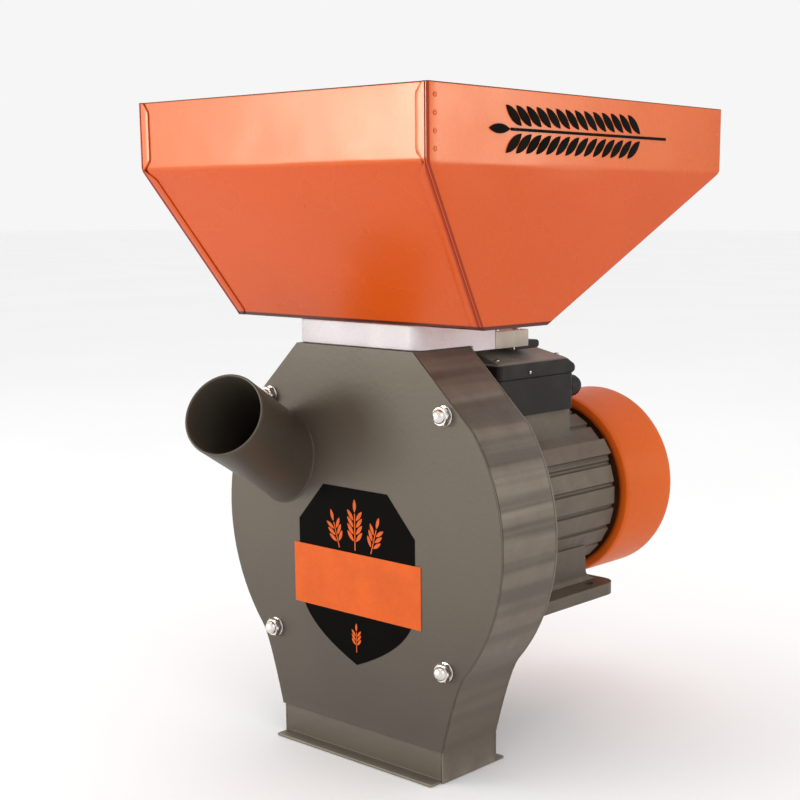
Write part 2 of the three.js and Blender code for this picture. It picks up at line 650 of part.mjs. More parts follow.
// A foot is a plate with rounded outer corners and an upright web that ends in a hollow fillet.
function foot(side) {
  const { front, rear, inner, outer, thickness, corner, web, webRear, fillet } = FOOT;
  const bottom = -SHAFT_HEIGHT;
  const top = bottom + thickness;
  const [webInner, webOuter] = web;
  const seatRadius = MOTOR.radius + 0.6;
  const seat = (x) => [x, -Math.sqrt(seatRadius ** 2 - x ** 2)];
  const webSection = [
    [webInner - 4, bottom + 2], [webOuter + 5, bottom + 2], [webOuter + 5, top], [webOuter + 1, top + 4],
    seat(webOuter), seat((webInner + webOuter) / 2), seat(webInner), [webInner, top + 4], [webInner - 4, top],
  ];
  const webSide = [
    [front, bottom], [webRear + fillet, bottom],
    ...arc(fillet, -90, -180, 5, [webRear + fillet, top + fillet]), [webRear, 0], [front, 0],
  ];
  const upright = common(alongY(webSection, front, rear), alongX(webSide, inner, outer));
  const plan = roundedRectangle(-outer, outer, front, rear, corner);
  const plate = common(block(inner, outer, front, rear, bottom, top), alongZ(plan, bottom - 1, 0));
  const holes = [-1, 1].map((end) => {
    const hole = new THREE.CylinderGeometry(FOOT_HOLE.radius, FOOT_HOLE.radius, 40, 16).rotateX(Math.PI / 2);
    return hole.translate(FOOT_HOLE.x, FOOT_CENTRE_Y + (end * FOOT_HOLE.spacing) / 2, bottom);
  });
  const right = cut(join(plate, upright), ...holes);
  return side > 0 ? right : toGeometry(toManifold(right).mirror([1, 0, 0]));
}

function makeMotor() {
  const { coreFront, coreRear, rotorRadius } = MOTOR;
  return assembly(
    piece("motor_front_shield", frontShield(), MATERIAL.motor),
    piece("bearing_front", bearing(BEARING.front), MATERIAL.chrome),
    piece("stator_housing", statorHousing(), MATERIAL.motor),
    piece("stator_core", statorCore(), MATERIAL.darkSteel),
    piece("winding_front", winding(coreFront - WINDING.length - 0.4), MATERIAL.copper),
    piece("winding_rear", winding(coreRear + 0.4), MATERIAL.copper),
    piece("rotor_core", ring(14 + GAP, rotorRadius, coreFront, coreRear, 36), MATERIAL.darkSteel),
    piece("motor_rear_shield", rearShield(), MATERIAL.motor),
    piece("bearing_rear", bearing(BEARING.rear), MATERIAL.chrome),
    piece("cooling_fan", fan(), MATERIAL.black),
    piece("fan_cover", fanCover(), MATERIAL.orange),
    ...SIDES.map(([name, side]) => piece(`motor_foot_${name}`, foot(side), MATERIAL.motor)),
  );
}

// ---------------------------------------------------------------- electrical parts

function terminalBox() {
  const { half, front, rear, bottom, top, wall, corner } = BOX;
  const outer = alongZ(roundedRectangle(-half, half, front, rear, corner), bottom, top);
  const hollow = alongZ(
    roundedRectangle(wall - half, half - wall, front + wall, rear - wall, corner - 2), bottom + wall, top + 5);
  const glandHole = rod(GLAND.radius + GAP, rear - 10, rear + 10, 16, GLAND.x, GLAND.z);
  const window = block(-half - 5, 10 - half, SWITCH.y - SWITCH.halfY + 2, SWITCH.y + SWITCH.halfY - 2,
    SWITCH.z - SWITCH.halfZ + 2, SWITCH.z + SWITCH.halfZ - 2);
  return cut(outer, hollow, glandHole, wireHole(bottom - 10, bottom + 10), window);
}

// The hipped lid, or its hollow when inset by a wall all round.
function lidSolid(inset) {
  return loft(LID.map(({ z, half, front, rear }, k) => ({
    z: z - inset * (k > 0 ? k / (LID.length - 1) : 1),
    outline: roundedRectangle(inset - half, half - inset, front + inset, rear - inset, LID_CORNER, 3),
  })));
}

function cableGland() {
  const { rear } = BOX;
  const { bore, radius, collar, cap, length, x, z } = GLAND;
  return turned([
    [bore, rear - 8], [radius, rear - 8], [radius, rear + GAP], [collar, rear + GAP], [collar, rear + 6],
    [cap, rear + 7], [cap, rear + length - 4], [cap - 2, rear + length], [bore, rear + length],
  ], 16, x, z);
}

function switchBody() {
  const { y, z, halfY, halfZ, border } = SWITCH;
  const wallX = -BOX.half;
  const flange = block(wallX - GAP - 1.7, wallX - GAP, y - halfY, y + halfY, z - halfZ, z + halfZ);
  const body = block(wallX - GAP - 1, wallX + 16, y - halfY + border, y + halfY - border,
    z - halfZ + border, z + halfZ - border);
  const pocket = block(wallX - 10, wallX + 9, y - halfY + 4.2, y + halfY - 4.2, z - 7.6, z + 7.6);
  return cut(join(flange, body), pocket);
}

// The rocker lies in its off position, its upper half pressed in.
function switchRocker() {
  const { y, z, halfY, pivotX } = SWITCH;
  const radius = 7;
  const section = [
    ...arc(radius, -90, 90, 10, [pivotX, z]),
    [pivotX - 2, z + radius - 0.5], [pivotX - 2.6, z], [pivotX - 5.5, z - radius + 1.2],
    [pivotX - 4.5, z - radius + 0.6],
  ];
  return alongY(section, y - halfY + 4.7, y + halfY - 4.7);
}

function makeElectrics() {
  const { radius, ends: [left, right], y, z } = CAPACITOR;
  const capacitor = rod(radius, left, right, 24).rotateZ(-Math.PI / 2).translate(0, y, z);
  return assembly(
    piece("terminal_box", terminalBox(), MATERIAL.black),
    piece("terminal_box_lid", cut(lidSolid(0), lidSolid(PLATE)), MATERIAL.black),
    piece("run_capacitor", capacitor, MATERIAL.aluminium),
    piece("cable_gland", cableGland(), MATERIAL.black),
    piece("switch_body", switchBody(), MATERIAL.black),
    piece("switch_rocker", switchRocker(), MATERIAL.black),
  );
}

// ---------------------------------------------------------------- the whole mill

const mill = assembly(
  makeHopper(), makeFeed(), makeChamber(), makeFrontCover(), makeRotor(), makeMotor(), makeElectrics());
mill.position.set(0, -FOOT_CENTRE_Y, SHAFT_HEIGHT);

const model = new THREE.Group();
model.add(mill);

export default model;
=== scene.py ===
"""Looks of the electric hammer mill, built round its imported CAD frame.

The mill's lengths are millimetres in its own frame, whose origin is where the shaft axis meets the
front face of the cover: x to the right, y backwards along the shaft, z up.  at() turns them into
Blender's metres in the row frame, in which the camera, the lights and the floor are placed.
"""

import math

import bpy
from mathutils import Matrix, Vector, noise


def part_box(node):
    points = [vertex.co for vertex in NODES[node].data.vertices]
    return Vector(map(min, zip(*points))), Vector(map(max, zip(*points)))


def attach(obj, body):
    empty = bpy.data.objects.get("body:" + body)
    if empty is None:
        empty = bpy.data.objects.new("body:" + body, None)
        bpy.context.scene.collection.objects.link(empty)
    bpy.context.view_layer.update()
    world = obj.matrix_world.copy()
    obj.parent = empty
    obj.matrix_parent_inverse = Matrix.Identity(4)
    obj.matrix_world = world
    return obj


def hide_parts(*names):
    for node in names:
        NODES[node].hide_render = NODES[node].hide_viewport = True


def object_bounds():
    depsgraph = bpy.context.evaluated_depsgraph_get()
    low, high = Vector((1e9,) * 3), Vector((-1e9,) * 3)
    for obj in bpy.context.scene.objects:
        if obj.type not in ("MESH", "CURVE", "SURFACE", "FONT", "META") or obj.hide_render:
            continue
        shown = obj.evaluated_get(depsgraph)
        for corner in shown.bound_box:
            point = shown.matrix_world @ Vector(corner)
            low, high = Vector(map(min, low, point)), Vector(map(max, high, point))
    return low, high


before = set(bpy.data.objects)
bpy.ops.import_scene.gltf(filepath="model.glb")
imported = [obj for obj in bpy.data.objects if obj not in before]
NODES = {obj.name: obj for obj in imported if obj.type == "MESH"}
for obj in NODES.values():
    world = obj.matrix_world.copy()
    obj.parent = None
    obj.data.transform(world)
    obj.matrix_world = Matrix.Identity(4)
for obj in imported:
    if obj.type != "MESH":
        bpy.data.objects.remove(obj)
CAD_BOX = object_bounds()
MM = 0.001
TAU = 2 * math.pi

# ---------------------------------------------------------------- places read from the frame


def middle(node):
    """Middle of a CAD node's box, in metres in the row frame."""
    low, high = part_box(node)
    return (low + high) / 2


SHAFT_Z = middle("rotor_hub").z
COVER_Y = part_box("front_cover")[0].y
ORIGIN = Vector((0, COVER_Y, SHAFT_Z))


def at(x, y, z):
    """A point of the mill's frame, in millimetres, as metres in the row frame."""
    return ORIGIN + Vector((x, y, z)) * MM


def extent(node):
    """Lowest and highest corner of a CAD node, in millimetres in the mill's frame."""
    return [(corner - ORIGIN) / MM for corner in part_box(node)]


def vertex_levels(node):
    """For each height at which a CAD node has vertices: (z, greatest |x|, least y, greatest y)."""
    levels = {}
    for vertex in NODES[node].data.vertices:
        x, y, z = (vertex.co - ORIGIN) / MM
        levels.setdefault(round(z, 1), []).append((abs(x), y))
    return [
        (z, max(x for x, _ in spots), min(y for _, y in spots), max(y for _, y in spots))
        for z, spots in sorted(levels.items())
    ]


# ---------------------------------------------------------------- camera, lights and floor

AZIMUTH = math.radians(40.8)
ELEVATION = math.radians(10.4)
CAMERA_PLACE = (0.7746, -0.9027, 0.3144)
SENSOR_WIDTH = 36
FOCAL_LENGTH = 65.4
FRAME_SHIFT = 0.1
WORLD_STRENGTH = 0.92


def add_camera():
    """A camera whose small shift puts the mill low and to the right in the frame."""
    data = bpy.data.cameras.new("camera")
    data.sensor_width = SENSOR_WIDTH
    data.lens = FOCAL_LENGTH
    data.shift_x = -FRAME_SHIFT
    data.shift_y = FRAME_SHIFT
    camera = bpy.data.objects.new("camera", data)
    bpy.context.scene.collection.objects.link(camera)
    back = Vector((
        math.sin(AZIMUTH) * math.cos(ELEVATION),
        -math.cos(AZIMUTH) * math.cos(ELEVATION),
        math.sin(ELEVATION),
    ))
    camera.location = CAMERA_PLACE
    camera.rotation_euler = (-back).to_track_quat("-Z", "Y").to_euler()
    bpy.context.scene.camera = camera


def add_area_light(name, place, target, size, power, color=(1, 1, 1), diffuse=True, glossy=True):
    """A rectangular light aimed at a target; diffuse or glossy set to False hides it from that kind."""
    data = bpy.data.lights.new(name, "AREA")
    data.shape = "RECTANGLE"
    data.size, data.size_y = size
    data.energy = power
    data.color = color
    light = bpy.data.objects.new(name, data)
    bpy.context.scene.collection.objects.link(light)
    light.location = place
    light.rotation_euler = (Vector(target) - Vector(place)).to_track_quat("-Z", "Y").to_euler()
    light.visible_camera = False
    light.visible_diffuse = diffuse
    light.visible_glossy = glossy


def add_world():
    world = bpy.data.worlds.new("studio")
    world.use_nodes = True
    background = world.node_tree.nodes["Background"]
    background.inputs["Color"].default_value = (1.0, 1.0, 1.0, 1.0)
    background.inputs["Strength"].default_value = WORLD_STRENGTH
    bpy.context.scene.world = world


add_camera()
add_world()
bpy.context.scene.view_settings.view_transform = "Standard"
HOPPER_BAND = (0, -0.2, 0.37)
CHAMBER = (0, -0.1, 0.15)
MOTOR_TOP = (0, 0, 0.15)
WARM = (1.0, 0.93, 0.74)
add_area_light("key", (-1.6, -1.5, 0.35), CHAMBER, (1.1, 0.8), 12, glossy=False)
# The three cards are seen only in reflections: the sheen on the hopper's upright band.
add_area_light("band_card", (-1.05, -1.85, 0.5), HOPPER_BAND, (1.0, 0.5), 44, WARM, diffuse=False)
add_area_light("soft_card", (-1.85, -1.35, 0.5), HOPPER_BAND, (0.7, 0.5), 3, WARM, diffuse=False)
add_area_light("corner_card", (1.45, 1.25, 0.45), HOPPER_BAND, (0.3, 0.5), 7, WARM, diffuse=False)
add_area_light("fill", (2.2, -0.9, 1.3), MOTOR_TOP, (1.6, 1.6), 9)
add_area_light("top", (-0.2, -0.5, 2.3), (0, 0, 0), (1.8, 1.8), 8)

# ---------------------------------------------------------------- materials


def srgb(red, green, blue):
    """A colour given in 0 to 255 as scene-linear red, green, blue, alpha."""
    channels = [c / 255 for c in (red, green, blue)]
    linear = [c / 12.92 if c <= 0.04045 else ((c + 0.055) / 1.055) ** 2.4 for c in channels]
    return (*linear, 1.0)


def scaled(color, factor):
    """A lighter or darker shade of a colour."""
    return (*(min(1.0, channel * factor) for channel in color[:3]), 1.0)


# A pale edge colour: partly rubbed paint, partly a painted highlight along rounded edges such as the
# cover's rim.
WORN_EDGE_AND_HIGHLIGHT = srgb(165, 156, 142)
MIX_FIRST, MIX_SECOND, MIX_RESULT = 6, 7, 2     # the Mix node's sockets when it mixes colours


class Graph:
    """Builds one node material on the Principled shader, over object coordinates."""

    def __init__(self, name):
        self.material = bpy.data.materials.new(name)
        self.material.use_nodes = True
        self.tree = self.material.node_tree
        self.shader = self.tree.nodes["Principled BSDF"]
        self.where = self.add("ShaderNodeTexCoord").outputs["Object"]

    def add(self, kind, **settings):
        node = self.tree.nodes.new(kind)
        for key, value in settings.items():
            setattr(node, key, value)
        return node

    def feed(self, socket, value):
        if isinstance(value, bpy.types.NodeSocket):
            self.tree.links.new(value, socket)
        else:
            socket.default_value = value

    def set(self, name, value):
        self.feed(self.shader.inputs[name], value)

    def stretched(self, factors):
        mapping = self.add("ShaderNodeMapping")
        self.feed(mapping.inputs["Vector"], self.where)
        mapping.inputs["Scale"].default_value = factors
        return mapping.outputs["Vector"]

    def noise(self, scale, detail=3.0, vector=None):
        texture = self.add("ShaderNodeTexNoise")
        self.feed(texture.inputs["Vector"], vector or self.where)
        texture.inputs["Scale"].default_value = scale
        texture.inputs["Detail"].default_value = detail
        return texture.outputs["Fac"]

    def ramp(self, factor, stops):
        """Maps a factor through [(position, value)], where a value is a number or a colour."""
        node = self.add("ShaderNodeValToRGB")
        self.feed(node.inputs["Fac"], factor)
        node.color_ramp.interpolation = "EASE"
        elements = node.color_ramp.elements
        while len(elements) < len(stops):
            elements.new(0.5)
        for element, (position, value) in zip(elements, stops):
            element.position = position
            element.color = value if isinstance(value, tuple) else (value, value, value, 1.0)
        return node.outputs["Color"]

    def spread(self, factor, low, high):
        """Maps a noise factor, which mostly lies about the middle, to values from low to high."""
        return self.ramp(factor, [(0.3, low), (0.7, high)])

    def mix(self, factor, first, second, blend="MIX"):
        node = self.add("ShaderNodeMix", data_type="RGBA", blend_type=blend)
        self.feed(node.inputs["Factor"], factor)
        self.feed(node.inputs[MIX_FIRST], first)
        self.feed(node.inputs[MIX_SECOND], second)
        return node.outputs[MIX_RESULT]

    def calculate(self, operation, first, second=0.0):
        node = self.add("ShaderNodeMath", operation=operation)
        self.feed(node.inputs[0], first)
        self.feed(node.inputs[1], second)
        return node.outputs[0]

    def height(self):
        """Height above the shaft in millimetres."""
        split = self.add("ShaderNodeSeparateXYZ")
        self.feed(split.inputs[0], self.where)
        above = self.calculate("SUBTRACT", split.outputs["Z"], SHAFT_Z)
        return self.calculate("MULTIPLY", above, 1 / MM)

    def between(self, value, start, end):
        """0 where value is start, 1 where it is end, clamped."""
        node = self.add("ShaderNodeMapRange", clamp=True)
        self.feed(node.inputs["Value"], value)
        node.inputs["From Min"].default_value = start
        node.inputs["From Max"].default_value = end
        return node.outputs["Result"]

    def normal_part(self, axis):
        """One component of the surface's normal in the row frame."""
        split = self.add("ShaderNodeSeparateXYZ")
        self.feed(split.inputs[0], self.add("ShaderNodeNewGeometry").outputs["Normal"])
        return split.outputs[axis]

    def bump(self, relief, distance, strength, below=None):
        """A bump of a relief that is up to a distance high, in metres, over a finer bump below it."""
        node = self.add("ShaderNodeBump")
        node.inputs["Strength"].default_value = strength
        node.inputs["Distance"].default_value = distance
        self.feed(node.inputs["Height"], relief)
        if below is not None:
            self.feed(node.inputs["Normal"], below)
        return node.outputs["Normal"]

    def edge_wear(self):
        """0 on flat and hollow stretches, 1 along sharp convex edges."""
        pointiness = self.add("ShaderNodeNewGeometry").outputs["Pointiness"]
        return self.between(pointiness, 0.53, 0.6)

    def base_color(self):
        """The socket that feeds the base colour so far."""
        return self.shader.inputs["Base Color"].links[0].from_socket


def tone_of(graph, color, depth, scale):
    """The colour with broad soft blotches and a fine speckle, both by noise."""
    broad = graph.spread(graph.noise(scale), scaled(color, 1 - depth), scaled(color, 1 + depth))
    speckle = graph.ramp(graph.noise(480, 2.0), [(0.35, 0.97), (0.65, 1.02)])
    return graph.mix(1.0, broad, speckle, "MULTIPLY")


def sheet_paint(name, color, roughness, peel, depth=0.07, scale=9.0, edge=None, coat=0.0, shine=0.35):
    """Sprayed paint on sheet metal: orange-peel bump, cloudy gloss and lightened edges, partly rubbed paint
    and partly a painted highlight.
    """
    graph = Graph(name)
    tone = tone_of(graph, color, depth, scale)
    if edge is not None:
        worn = graph.calculate("MULTIPLY", graph.edge_wear(), graph.noise(60))
        tone = graph.mix(worn, tone, edge)
    graph.set("Base Color", tone)
    graph.set("Roughness", graph.spread(graph.noise(14, 5.0), *roughness))
    graph.set("Specular IOR Level", shine)
    graph.set("Coat Weight", coat)
    graph.set("Coat Roughness", 0.2)
    graph.set("Normal", graph.bump(graph.noise(260, 1.0), 0.0006, peel))
    return graph


def hopper_paint():
    """Glossy orange with painted shade: redder below the knee, dark red in the bends as a painted dark
    reflection, dark brown on the bottom lip as painted shade and along the rim.
    """
    color = srgb(214, 92, 22)
    graph = sheet_paint("hopper_orange", color, (0.24, 0.32), 0.05, 0.04, 6.0, coat=0.12, shine=0.2)
    tone = graph.base_color()
    floor, knee, rim = (level[0] for level in vertex_levels("hopper_right_panel"))
    height = graph.height()
    # Painted shade: the sloping sheet below the knee is made darker and redder.
    below_knee_shade = graph.between(height, knee + 1, knee - 1)
    tone = graph.mix(below_knee_shade, tone, graph.mix(1.0, tone, (0.95, 0.80, 0.80, 1.0), "MULTIPLY"))
    # Painted dark reflection: where the normal turns between side and front, in the rounded folds, the
    # colour goes dark red.
    corner = graph.calculate("MULTIPLY", graph.normal_part("X"), graph.normal_part("Y"))
    bend = graph.calculate("ABSOLUTE", corner)
    tone = graph.mix(graph.between(bend, 0.10, 0.30), tone, srgb(150, 46, 22))
    # Painted shade: the folded-under bottom lip goes dark brown; the top rim gets the same dark brown band.
    lip = graph.between(height, floor + 3.0, floor + 2.2)
    rim_band = graph.between(height, rim - 0.7, rim - 0.4)
    tone = graph.mix(graph.calculate("MAXIMUM", lip, rim_band), tone, srgb(84, 30, 18))
    graph.set("Base Color", tone)
    return graph.material


def cover_paint(color):
    """The chamber's paint on the flat cover, with painted shade: darker towards the outlet below."""
    graph = sheet_paint("cover_grey", color, (0.40, 0.52), 0.14, 0.05, 7.0, edge=WORN_EDGE_AND_HIGHLIGHT)
    # Painted shade: the base colour darkens towards the bottom of the cover.
    dull = graph.ramp(graph.between(graph.height(), -165, 60), [(0.0, 0.70), (0.85, 1.0)])
    graph.set("Base Color", graph.mix(1.0, graph.base_color(), dull, "MULTIPLY"))
    return graph.material


def top_lit_plastic(name, color, top_sheen):
    """Moulded plastic with a painted sheen: faces that look upwards are painted paler, in patches."""
    graph = Graph(name)
    patches = graph.ramp(graph.noise(45, 5.0), [(0.3, 0.75), (0.6, 1.0)])
    # Painted sheen: the colour turns paler where the faces look upwards.
    top_sheen_mask = graph.calculate("MULTIPLY", graph.between(graph.normal_part("Z"), 0.35, 0.85), patches)
    graph.set("Base Color", graph.mix(top_sheen_mask, tone_of(graph, color, 0.08, 30.0), top_sheen))
    graph.set("Roughness", graph.spread(graph.noise(50, 4.0), 0.5, 0.62))
    graph.set("Specular IOR Level", 0.2)
    graph.set("Normal", graph.bump(graph.noise(1300, 2.0), 0.0002, 0.35))
    return graph.material


def bent_sheet_paint(color):
    """The chamber's paint on its hand-bent band: painted light and shade in streaks parallel to the shaft,
    with a matching bump, where the bends are tight.
    """
    graph = sheet_paint("band_grey", color, (0.36, 0.48), 0.14, 0.05, 7.0, edge=WORN_EDGE_AND_HIGHLIGHT)
    tone = graph.base_color()
    # Painted light and shade: lighter and darker streaks of colour stand for the bend facets catching the
    # light.
    streaks = graph.noise(70, 1.5, graph.stretched((1, 0.03, 1)))
    facet_shading = graph.mix(1.0, tone, graph.ramp(streaks, [(0.40, 0.64), (0.60, 1.16)]), "MULTIPLY")
    bends = graph.between(graph.height(), -95, 0)
    graph.set("Base Color", graph.mix(bends, graph.mix(0.25, tone, facet_shading), facet_shading))
    skin = graph.shader.inputs["Normal"].links[0].from_socket
    graph.set("Normal", graph.bump(graph.calculate("MULTIPLY", streaks, bends), 0.006, 0.5, skin))
    return graph.material


def cast_paint(name, color, grain=0.5):
    """Satin paint over a sand-cast or die-cast skin."""
    graph = Graph(name)
    tone = tone_of(graph, color, 0.12, 22.0)
    worn = graph.calculate("MULTIPLY", graph.edge_wear(), graph.noise(90))
    graph.set("Base Color", graph.mix(worn, tone, scaled(color, 1.9)))
    graph.set("Roughness", graph.spread(graph.noise(40, 4.0), 0.42, 0.58))
    graph.set("Specular IOR Level", 0.3)
    fine = graph.bump(graph.noise(900, 3.0), 0.0004, grain)
    graph.set("Normal", graph.bump(graph.noise(160, 2.0), 0.0010, 0.3, fine))
    return graph.material


def moulded_plastic(name, color, rough=(0.4, 0.52), grain=0.35, scatter=0.0, shine=0.3):
    """Plastic or print with a fine moulded grain; scatter lets some light into it."""
    graph = Graph(name)
    graph.set("Base Color", tone_of(graph, color, 0.08, 30.0))
    graph.set("Roughness", graph.spread(graph.noise(50, 4.0), *rough))
    graph.set("Specular IOR Level", shine)
    graph.set("Subsurface Weight", scatter)
    graph.set("Subsurface Scale", 0.002)
    graph.set("Normal", graph.bump(graph.noise(1300, 2.0), 0.0002, grain))
    return graph.material


def bare_metal(name, color, rough, brushed, scratch, dull=0.12):
    """Plated or machined metal with scratches drawn out along one direction."""
    graph = Graph(name)
    lines = graph.noise(420, 4.0, graph.stretched(brushed))
    clouds = graph.noise(70, 4.0)
    graph.set("Base Color", graph.spread(clouds, scaled(color, 1 - dull), scaled(color, 1 + dull / 2)))
    graph.set("Metallic", 1.0)
    graph.set("Roughness", graph.spread(lines, *rough))
    graph.set("Normal", graph.bump(lines, 0.0002, scratch))
    return graph.material


ORANGE = hopper_paint()
COVER_ORANGE = sheet_paint("fan_cover_orange", srgb(210, 92, 22), (0.36, 0.46), 0.10, shine=0.12).material
GREY = sheet_paint("chamber_grey", srgb(93, 84, 73), (0.36, 0.48), 0.14, 0.05, 7.0, edge=WORN_EDGE_AND_HIGHLIGHT).material
BENT_GREY = bent_sheet_paint(srgb(90, 79, 67))
COVER_GREY = cover_paint(srgb(86, 76, 65))
# Painted shade: the chamber's grey made darker for the inlet tube.
TUBE_SHADED_GREY = sheet_paint("tube_shaded_grey", srgb(74, 67, 57), (0.40, 0.52), 0.14, 0.05, 7.0).material
LID_BLACK = top_lit_plastic("lid_black", srgb(29, 26, 24), srgb(150, 142, 133))
MOTOR = cast_paint("motor_grey_brown", srgb(90, 79, 68))
BLACK = moulded_plastic("black_plastic", srgb(29, 26, 24), shine=0.15)
WHITE = moulded_plastic("white_plastic", srgb(218, 212, 215), (0.3, 0.42), 0.12, 0.15)
GUIDE_ZINC = cast_paint("dull_zinc", srgb(160, 153, 140), 0.15)
# Painted shade: the fan gets a brown that reads as the fan cover's orange inside in shade, seen through the
# gap.
FAN_SHADE_BROWN = moulded_plastic("fan_plastic", srgb(112, 74, 50), shine=0.15)
ZINC = bare_metal("zinc_sheet", srgb(176, 170, 156), (0.34, 0.5), (1, 12, 1), 0.15)
CHROME = bare_metal("chrome", srgb(222, 218, 214), (0.2, 0.3), (1, 1, 1), 0.04, 0.05)
STEEL = bare_metal("steel", srgb(160, 160, 160), (0.25, 0.4), (12, 1, 12), 0.2)
DARK_STEEL = bare_metal("dark_steel", srgb(105, 100, 96), (0.38, 0.58), (1, 1, 8), 0.4, 0.3)
ALUMINIUM = bare_metal("aluminium", srgb(190, 190, 188), (0.3, 0.42), (1, 10, 1), 0.15)
COPPER = bare_metal("copper", srgb(176, 98, 52), (0.28, 0.42), (1, 1, 14), 0.5, 0.25)
BADGE_BLACK = moulded_plastic("badge_black", srgb(7, 6, 5), (0.4, 0.5), 0.08, shine=0.02)
BADGE_ORANGE = moulded_plastic("badge_orange", srgb(218, 92, 24), (0.4, 0.5), 0.08, shine=0.15)

# ---------------------------------------------------------------- mesh helpers


def new_piece(name, points, faces, material, smooth, body="root"):
    """A mesh piece from points in the mill's frame, smooth up to an angle in degrees, on a CAD body."""
    mesh = bpy.data.meshes.new(name)
    mesh.from_pydata([at(*point) for point in points], [], faces)
    mesh.validate()
    mesh.update()
    mesh.shade_smooth()
    mesh.set_sharp_from_angle(angle=math.radians(smooth))
    mesh.materials.append(material)
    piece = bpy.data.objects.new(name, mesh)
    bpy.context.scene.collection.objects.link(piece)
    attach(piece, body)
    return piece


def grid(rows, closed=False, caps=False):
    """Points and faces of a surface through equal-length rows of points."""
    count = len(rows[0])
    points = [point for row in rows for point in row]
    faces = []
    for r in range(len(rows) - 1):
        for c in range(count if closed else count - 1):
            d = (c + 1) % count
            faces.append((r * count + c, r * count + d, (r + 1) * count + d, (r + 1) * count + c))
    if caps:
        last = (len(rows) - 1) * count
        faces.append(tuple(range(count))[::-1])
        faces.append(tuple(last + c for c in range(count)))
    return points, faces


def merged(*parts):
    """Several (points, faces) pairs as one."""
    points, faces = [], []
    for more_points, more_faces in parts:
        start = len(points)
        points += more_points
        faces += [tuple(start + i for i in face) for face in more_faces]
    return points, faces


def placed(part, matrix):
    points, faces = part
    return [tuple(matrix @ Vector(point)) for point in points], faces


def ring(radius, y, segments):
    """Points on a circle round the y axis."""
    turns = [TAU * i / segments for i in range(segments)]
    return [(radius * math.cos(turn), y, radius * math.sin(turn)) for turn in turns]


def lathe(profile, segments):
    """Turned about the y axis from [(radius, y)], listed so that the surface faces outwards."""
    return grid([ring(radius, y, segments) for radius, y in profile], closed=True, caps=True)


def add_modifier(piece, kind, **settings):
    modifier = piece.modifiers.new(kind.lower(), kind)
    for key, value in settings.items():
        setattr(modifier, key, value)
    return modifier


def round_edges(piece, width, segments=2, angle=32):
    add_modifier(piece, "BEVEL", width=width * MM, segments=segments, limit_method="ANGLE",
                 angle_limit=math.radians(angle), harden_normals=False)
    add_modifier(piece, "WEIGHTED_NORMAL", weight=80, keep_sharp=False)


def thicken(piece, thickness):
    """Gives a sheet its thickness behind its outer face."""
    add_modifier(piece, "SOLIDIFY", thickness=thickness * MM, offset=-1.0, use_even_offset=True)


def dress(node, material, edge, segments=2, angle=32):
    """Keeps a CAD node's shape, with rounded edges and a finished material."""
    piece = NODES[node]
    piece.data.materials.clear()
    piece.data.materials.append(material)
    piece.data.shade_smooth()
    custom = piece.data.attributes.get("custom_normal")
    if custom is not None:
        piece.data.attributes.remove(custom)
    add_modifier(piece, "WELD", merge_threshold=0.02 * MM)
    add_modifier(piece, "DECIMATE", decimate_type="DISSOLVE", angle_limit=math.radians(0.6))
    round_edges(piece, edge, segments, angle)


def swung(direction):
    """The rotation that turns +y onto a direction."""
    return Vector((0, 1, 0)).rotation_difference(Vector(direction)).to_matrix().to_4x4()


# ---------------------------------------------------------------- hopper

SHEET = 1.5             # thickness of the CAD's sheet metal
HOPPER_SHEET = 0.9      # thickness of the hopper's finer sheets
FLANGE = 11
NARROW_FLANGE = 3.4     # the folded edge's least width, at the knee's notch
FOLD_RADIUS = 1.8
FOLD_TURNS = [math.radians(15 * k) for k in range(7)]
KNEE_ROUND = 2.6
SIDE_LAP, FRONT_LAP, REAR_LAP = 0.5, 1.6, 2.0   # how far the floor plate stays inside the outer faces
(FLOOR_Z, FLOOR_HALF, FLOOR_FRONT, FLOOR_REAR), (KNEE_Z, TOP_HALF, TOP_FRONT, TOP_REAR), RIM_LEVEL = (
    vertex_levels("hopper_right_panel"))
RIM_Z = RIM_LEVEL[0]


def hopper_section(z):
    """Half width, front and rear of the hopper's outside at a height, with a rounded knee."""

    def sharp(height):
        t = min(1.0, (height - FLOOR_Z) / (KNEE_Z - FLOOR_Z))
        pairs = ((FLOOR_HALF, TOP_HALF), (FLOOR_FRONT, TOP_FRONT), (FLOOR_REAR, TOP_REAR))
        return [low + (high - low) * t for low, high in pairs]

    if abs(z - KNEE_Z) >= KNEE_ROUND:
        return sharp(z)
    t = (z - KNEE_Z + KNEE_ROUND) / (2 * KNEE_ROUND)
    start, bend, end = (sharp(KNEE_Z + KNEE_ROUND * k) for k in (-1, 0, 1))
    return [(1 - t) ** 2 * a + 2 * t * (1 - t) * b + t * t * c for a, b, c in zip(start, bend, end)]


def hopper_heights():
    """Row heights: close together at the knee and near the rim and floor, wider between."""
    heights = {FLOOR_Z, RIM_Z}
    heights |= {KNEE_Z + KNEE_ROUND * k / 3 for k in range(-3, 4)}
    heights |= {KNEE_Z + side * (KNEE_ROUND + step) for side in (-1, 1) for step in (1.5, 3, 5, 7.5, 10)}
    heights |= {RIM_Z - step for step in (1, 2.5, 4, 6, 8)}
    heights |= {FLOOR_Z + step for step in (1, 2.5, 4, 6)}
    heights |= {FLOOR_Z + 12 + 8 * k for k in range(12)}
    heights |= {KNEE_Z + 17 + 6 * k for k in range(4)}
    return sorted(heights)


def flange_width(z):
    """Width of the folded-over edge: clipped at the rim and the floor, notched at the knee."""
    notch = abs(z - KNEE_Z) * 1.1 + (4.0 if z > KNEE_Z else NARROW_FLANGE)
    rim_clip = 5 + 0.9 * (RIM_Z - z)
    floor_clip = 7 + (z - FLOOR_Z)
    return max(NARROW_FLANGE, min(FLANGE, notch, rim_clip, floor_clip))


